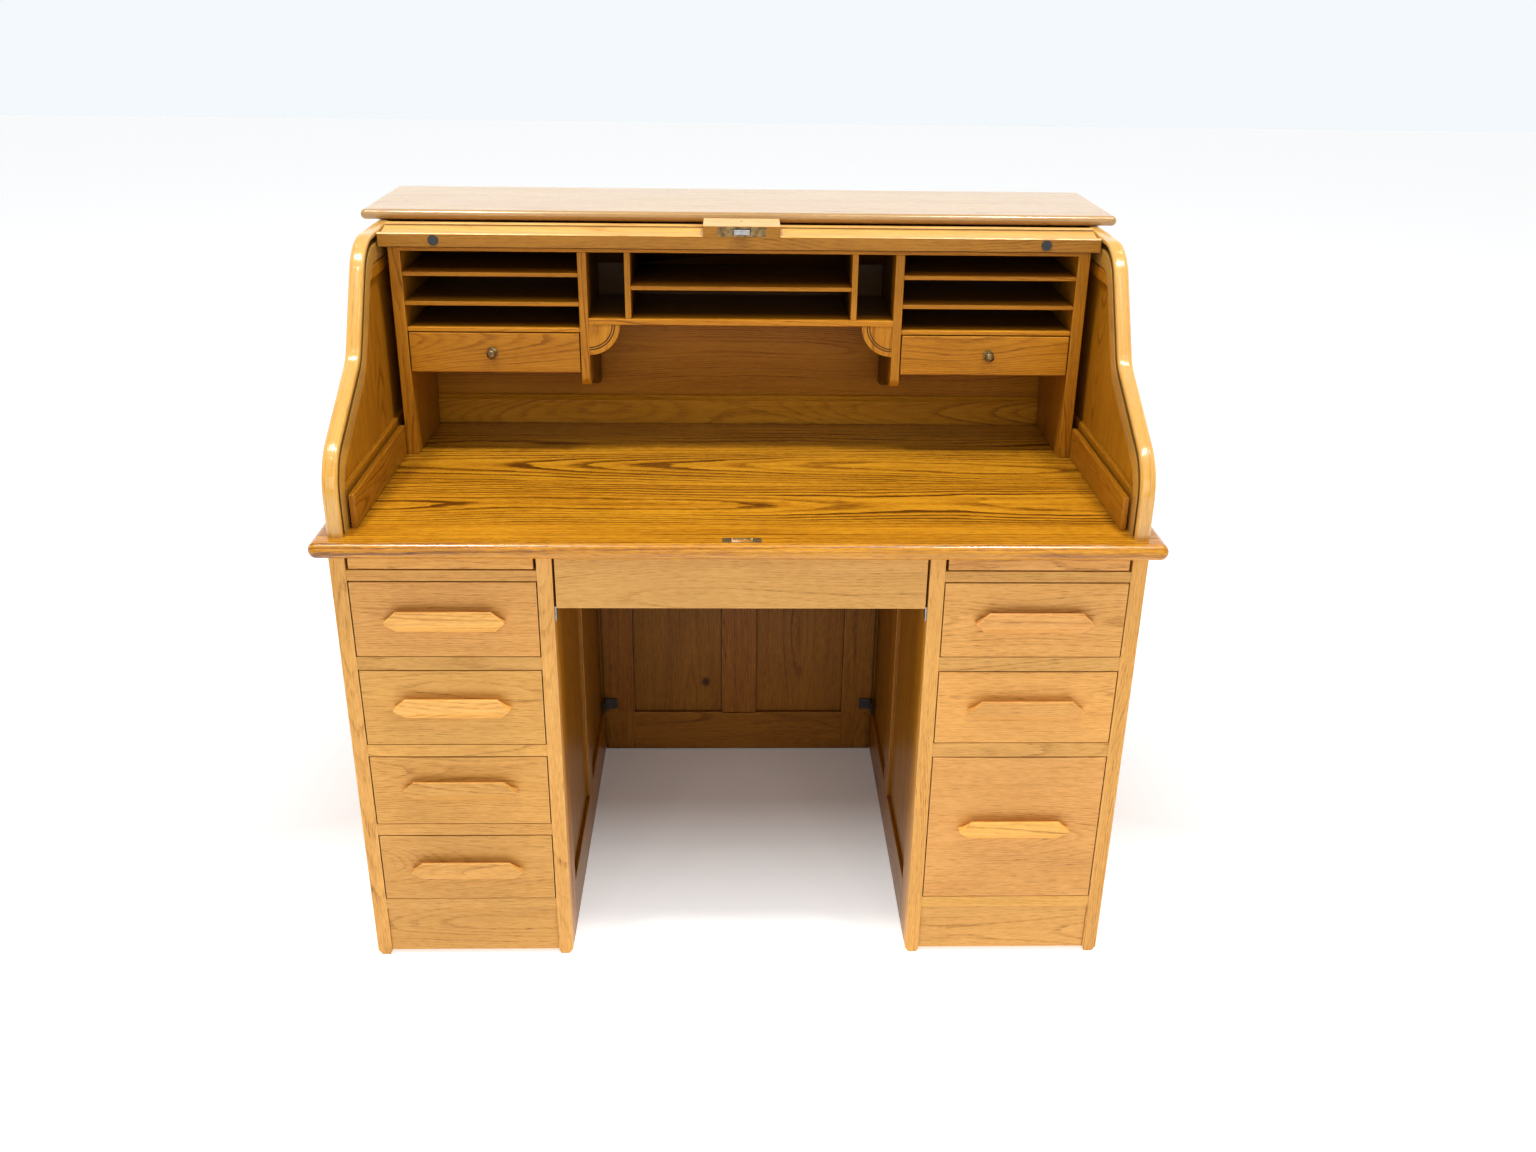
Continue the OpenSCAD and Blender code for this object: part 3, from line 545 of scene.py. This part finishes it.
# painted shade: the faces lying 396 mm behind the front plane are darkened nearly to black
from_node("corner_brackets", "honey", bevel=0.0003, axis=Z, painted_shade=lambda co: 1.0 if abs(co.y + MY - 0.396) < 0.0003 else 0.0)
for s in ("left", "right"):
    from_node(f"small_drawer_{s}", "honey", cuts=[(1, 408)])
    from_node(f"small_knob_{s}", "old_brass", bevel=0, smooth=30)
    k = -1 if s == "left" else 1
    from_node(f"{s}_face_frame", "front", bevel=0.0012, cuts=[(0, k * 313), (0, k * 601)])
    from_node(f"{s}_slide", "front", bevel=0.0015, axis=X)
from_node("plinths", "front")
def knee(co):
    """Painted shade: the faces that look into the kneehole are darker than the outer sides."""
    return 0.52 if abs(co.x) < 0.45 and co.y > -MY + 0.026 else 0.0
from_node("pedestal_sides", "honey", bevel=0.0015, painted_shade=knee, cuts=[(1, v) for v in (78, 346, 402, 692)])
from_node("pedestal_side_panels", "honey", axis=Z, painted_shade=knee)
from_node("pedestal_backs", "dark", axis=Z)
from_node("drawer_runners", "dark", bevel=0.0005)
from_node("modesty_frame", "dark", bevel=0.002, cuts=[(0, -224), (0, 224), (2, 94), (2, 690)])
from_node("modesty_panels", "dark", axis=Z)
for d in ("l1", "l2", "l3", "l4", "r1", "r2", "r3"):
    from_node(f"drawer_{d}", "front", bevel=0.0012, cuts=[(1, 20)])
# ---- wooden pulls: a pointed plate that leans out at the top, with a finger hollow behind its upper edge
PULLS = {"l1": (-1, 643), "l2": (-1, 490), "l3": (-1, 337), "l4": (-1, 179), "r1": (1, 642), "r2": (1, 486), "r3": (1, 258)}
def pull(key, side, z0):
    bm = bmesh.new()
    levels = [(20, -13.9, -10.6), (19.2, -14.8, -10.2), (14, -14.8, -9.3), (9, -14.7, -7.4), (6.5, -14.6, -5.3), (4.5, -14.5, -3.4), (3, -14.4, -1.4),
              (1.6, -14.3, 0.0), (1, -14.3, 0.0), (-3, -14.2, 0.0), (-11, -8.6, 0.0), (-17.5, -4.1, 0.0), (-19, -2.8, 0.0)]
    rings = []
    for z, yf, yb in levels:
        w = 93 - 20 * (z - 1) / 19 if z >= 1 else 93 - 17 * (1 - z) / 20
        pts = [(-w, yb), (-w, yf + 0.9), (-w + 1.1, yf), (w - 1.1, yf), (w, yf + 0.9), (w, yb)]
        rings.append([bm.verts.new(((side * 457.5 + x) / 1000, y / 1000 - MY, (z0 + z) / 1000)) for x, y in pts])
    n = 6
    for a, b in zip(rings, rings[1:]):
        for j in range(n):
            bm.faces.new((a[j], a[(j + 1) % n], b[(j + 1) % n], b[j]))
    bm.faces.new(rings[0]); bm.faces.new(rings[-1][::-1])
    bmesh.ops.recalc_face_normals(bm, faces=bm.faces)
    finish_mesh("pull_" + key + "_carved", bm, BODY_OF["pull_" + key], "pull" if key in ("l1", "l2", "r3") else "front", 0.0005, axis=X, smooth=24, replaces=("pull_" + key,), seed=sum(map(ord, key)) * 3)
for key, (side, z0) in PULLS.items():
    pull(key, side, z0)
from_node("centre_drawer", "front", bevel=0.0015, cuts=[(1, 20)])
def rail_quirk_shade(co):
    """Painted shade in the narrow quirks beside the cove."""
    y = (co.y + MY) * 1000
    return 0.95 if co.z > 1.16 and abs(co.x) < 0.599 and (383.5 < y < 386.5 or 433.5 < y < 435.5) else 0.0
rail = from_node("lock_rail", "rail", bevel=0.0004, axis=X, smooth=22, painted_shade=rail_quirk_shade)
# painted light: the upward-facing faces of the rail's moulding get the paler copy of the oak
rail.data.materials.append(MAT["pale"])
for p in rail.data.polygons:
    if p.normal.z > 0.35 and p.center.z > 1.160:
        p.material_index = 1
from_node("curtain_slats_top", "honey", bevel=0.0004, axis=X)
from_node("curtain_slats_back", "honey", bevel=0.0004, axis=X)
for part, flat in (("top", (1.17, 0.1582)), ("back", (1.17, 0.3145))):
    cloth = from_node(f"curtain_canvas_{part}", "canvas", bevel=0, smooth=40)
from_node("lock_plate", "old_brass", bevel=0.0004)
from_node("lock_bolt", "steel", bevel=0.0006)
from_node("strike_plate", "brass", bevel=0.0003)
from_node("rail_buffers", "rubber", bevel=0.0005)
from_node("kneehole_brackets", "iron", bevel=0.0004)
from_node("drawer_brackets", "steel", bevel=0.0003)

# ------------------------------------------------------------------ floor and light
def plain(name, col, rough):
    m = bpy.data.materials.new(name)
    m.use_nodes = True
    b = m.node_tree.nodes["Principled BSDF"]
    b.inputs["Base Color"].default_value = (*col, 1)
    b.inputs["Roughness"].default_value = rough
    return m
bm = bmesh.new()
bmesh.ops.create_grid(bm, x_segments=1, y_segments=1, size=14)
me = bpy.data.meshes.new("floor")
bm.to_mesh(me); bm.free()
floor = bpy.data.objects.new("floor", me)
floor.location = (0, 0, -0.0005)
SC.collection.objects.link(floor)
me.materials.append(plain("floor_pale", (0.80, 0.79, 0.785), 0.5))
fb = me.materials[0].node_tree.nodes["Principled BSDF"]
fb.inputs["Emission Color"].default_value = (0.955, 0.985, 1, 1)
# painted light: the floor glows, least close to the desk and most in front of it, so the white floor is overexposed
# everywhere but close to the desk
ft = me.materials[0].node_tree
def fmath(op, a, b):
    nd = ft.nodes.new("ShaderNodeMath")
    nd.operation = op
    for s, v in zip(nd.inputs, (a, b)):
        if isinstance(v, bpy.types.NodeSocket): ft.links.new(v, s)
        else: s.default_value = v
    return nd.outputs[0]
geo = ft.nodes.new("ShaderNodeNewGeometry")
sp = ft.nodes.new("ShaderNodeSeparateXYZ")
ft.links.new(geo.outputs["Position"], sp.inputs[0])
away = fmath("MAXIMUM", fmath("SUBTRACT", fmath("ABSOLUTE", sp.outputs[0], 0.0), 0.60), fmath("SUBTRACT", fmath("ABSOLUTE", sp.outputs[1], 0.0), 0.50))
mr = ft.nodes.new("ShaderNodeMapRange")
mr.interpolation_type = "SMOOTHSTEP"
ft.links.new(away, mr.inputs[0])
for i, v in enumerate((-0.12, 0.9, 0.06, 0.42)):
    mr.inputs[i + 1].default_value = v
mk = ft.nodes.new("ShaderNodeMapRange")
mk.interpolation_type = "SMOOTHSTEP"
ft.links.new(sp.outputs[1], mk.inputs[0])
for i, v in enumerate((-0.40, 0.24, 0.62, 0.0)):
    mk.inputs[i + 1].default_value = v
ft.links.new(fmath("MAXIMUM", mr.outputs[0], mk.outputs[0]), fb.inputs["Emission Strength"])

def studio():
    """A white room: bright overhead and behind the desk, dimmer in front of it."""
    w = bpy.data.worlds.new("studio")
    SC.world = w
    w.use_nodes = True
    t = NT(w)
    t.n.clear()
    out = t.new("ShaderNodeOutputWorld")
    d = t.new("ShaderNodeTexCoord").outputs["Generated"]
    x, y, z = t.sep(d)
    up = t.remap(z, 0.15, 0.75, 0.0, 1.0, smooth=True)
    back = t.math("MULTIPLY", t.remap(y, -0.2, 0.5, 0.0, 1.0, smooth=True), t.math("SUBTRACT", 1.0, up))
    side = t.remap(t.math("ABSOLUTE", x), 0.5, 1.0, 0.0, 1.0, smooth=True)
    lit = t.math("ADD", 0.10, t.math("ADD", t.math("MULTIPLY", up, 0.42), t.math("ADD", t.math("MULTIPLY", back, 1.15), t.math("MULTIPLY", side, 0.12))))
    light = t.new("ShaderNodeBackground")
    light.inputs[0].default_value = (0.98, 0.99, 1.0, 1)
    t.link(lit, light.inputs[1])
    seen = t.new("ShaderNodeBackground")
    seen.inputs[0].default_value = (0.90, 0.945, 0.975, 1)
    lp = t.new("ShaderNodeLightPath")
    mx = t.new("ShaderNodeMixShader")
    t.link(lp.outputs["Is Camera Ray"], mx.inputs[0])
    t.link(light.outputs[0], mx.inputs[1])
    t.link(seen.outputs[0], mx.inputs[2])
    t.link(mx.outputs[0], out.inputs["Surface"])
studio()
def area(name, loc, target, size, power, col=(1, 1, 1), size_y=None):
    ld = bpy.data.lights.new(name, "AREA")
    ld.energy, ld.color = power, col
    ld.shape = "RECTANGLE"
    ld.size, ld.size_y = size, size_y or size
    ob = bpy.data.objects.new(name, ld)
    ob.location = loc
    ob.rotation_mode = "QUATERNION"
    ob.rotation_quaternion = (Vector(target) - Vector(loc)).to_track_quat("-Z", "Y")
    SC.collection.objects.link(ob)
    return ob
area("key_left", (-1.45, -1.07, 6.0), (0, 0, 0.7), 0.55, 165, (1, 0.985, 0.96))
area("key_right", (1.45, -1.07, 6.0), (0, 0, 0.7), 0.55, 165, (1, 0.985, 0.96))
area("front_fill", (0.0, -4.6, 2.1), (0, -0.3, 0.5), 4.2, 52, (1, 0.99, 0.975), size_y=1.8)
for i, y in enumerate((-2.6, -1.5, -0.4, 0.7)):
    for sx in (-1, 1):
        area(f"lamp_{i}_{'l' if sx < 0 else 'r'}", (sx * (1.0 + 0.12 * i), y, 3.1), (sx * 0.4, -0.1, 0.8), 0.10, 2.2)

SC.view_settings.view_transform = "Standard"
SC.view_settings.look = "None"
SC.view_settings.exposure = 0.0
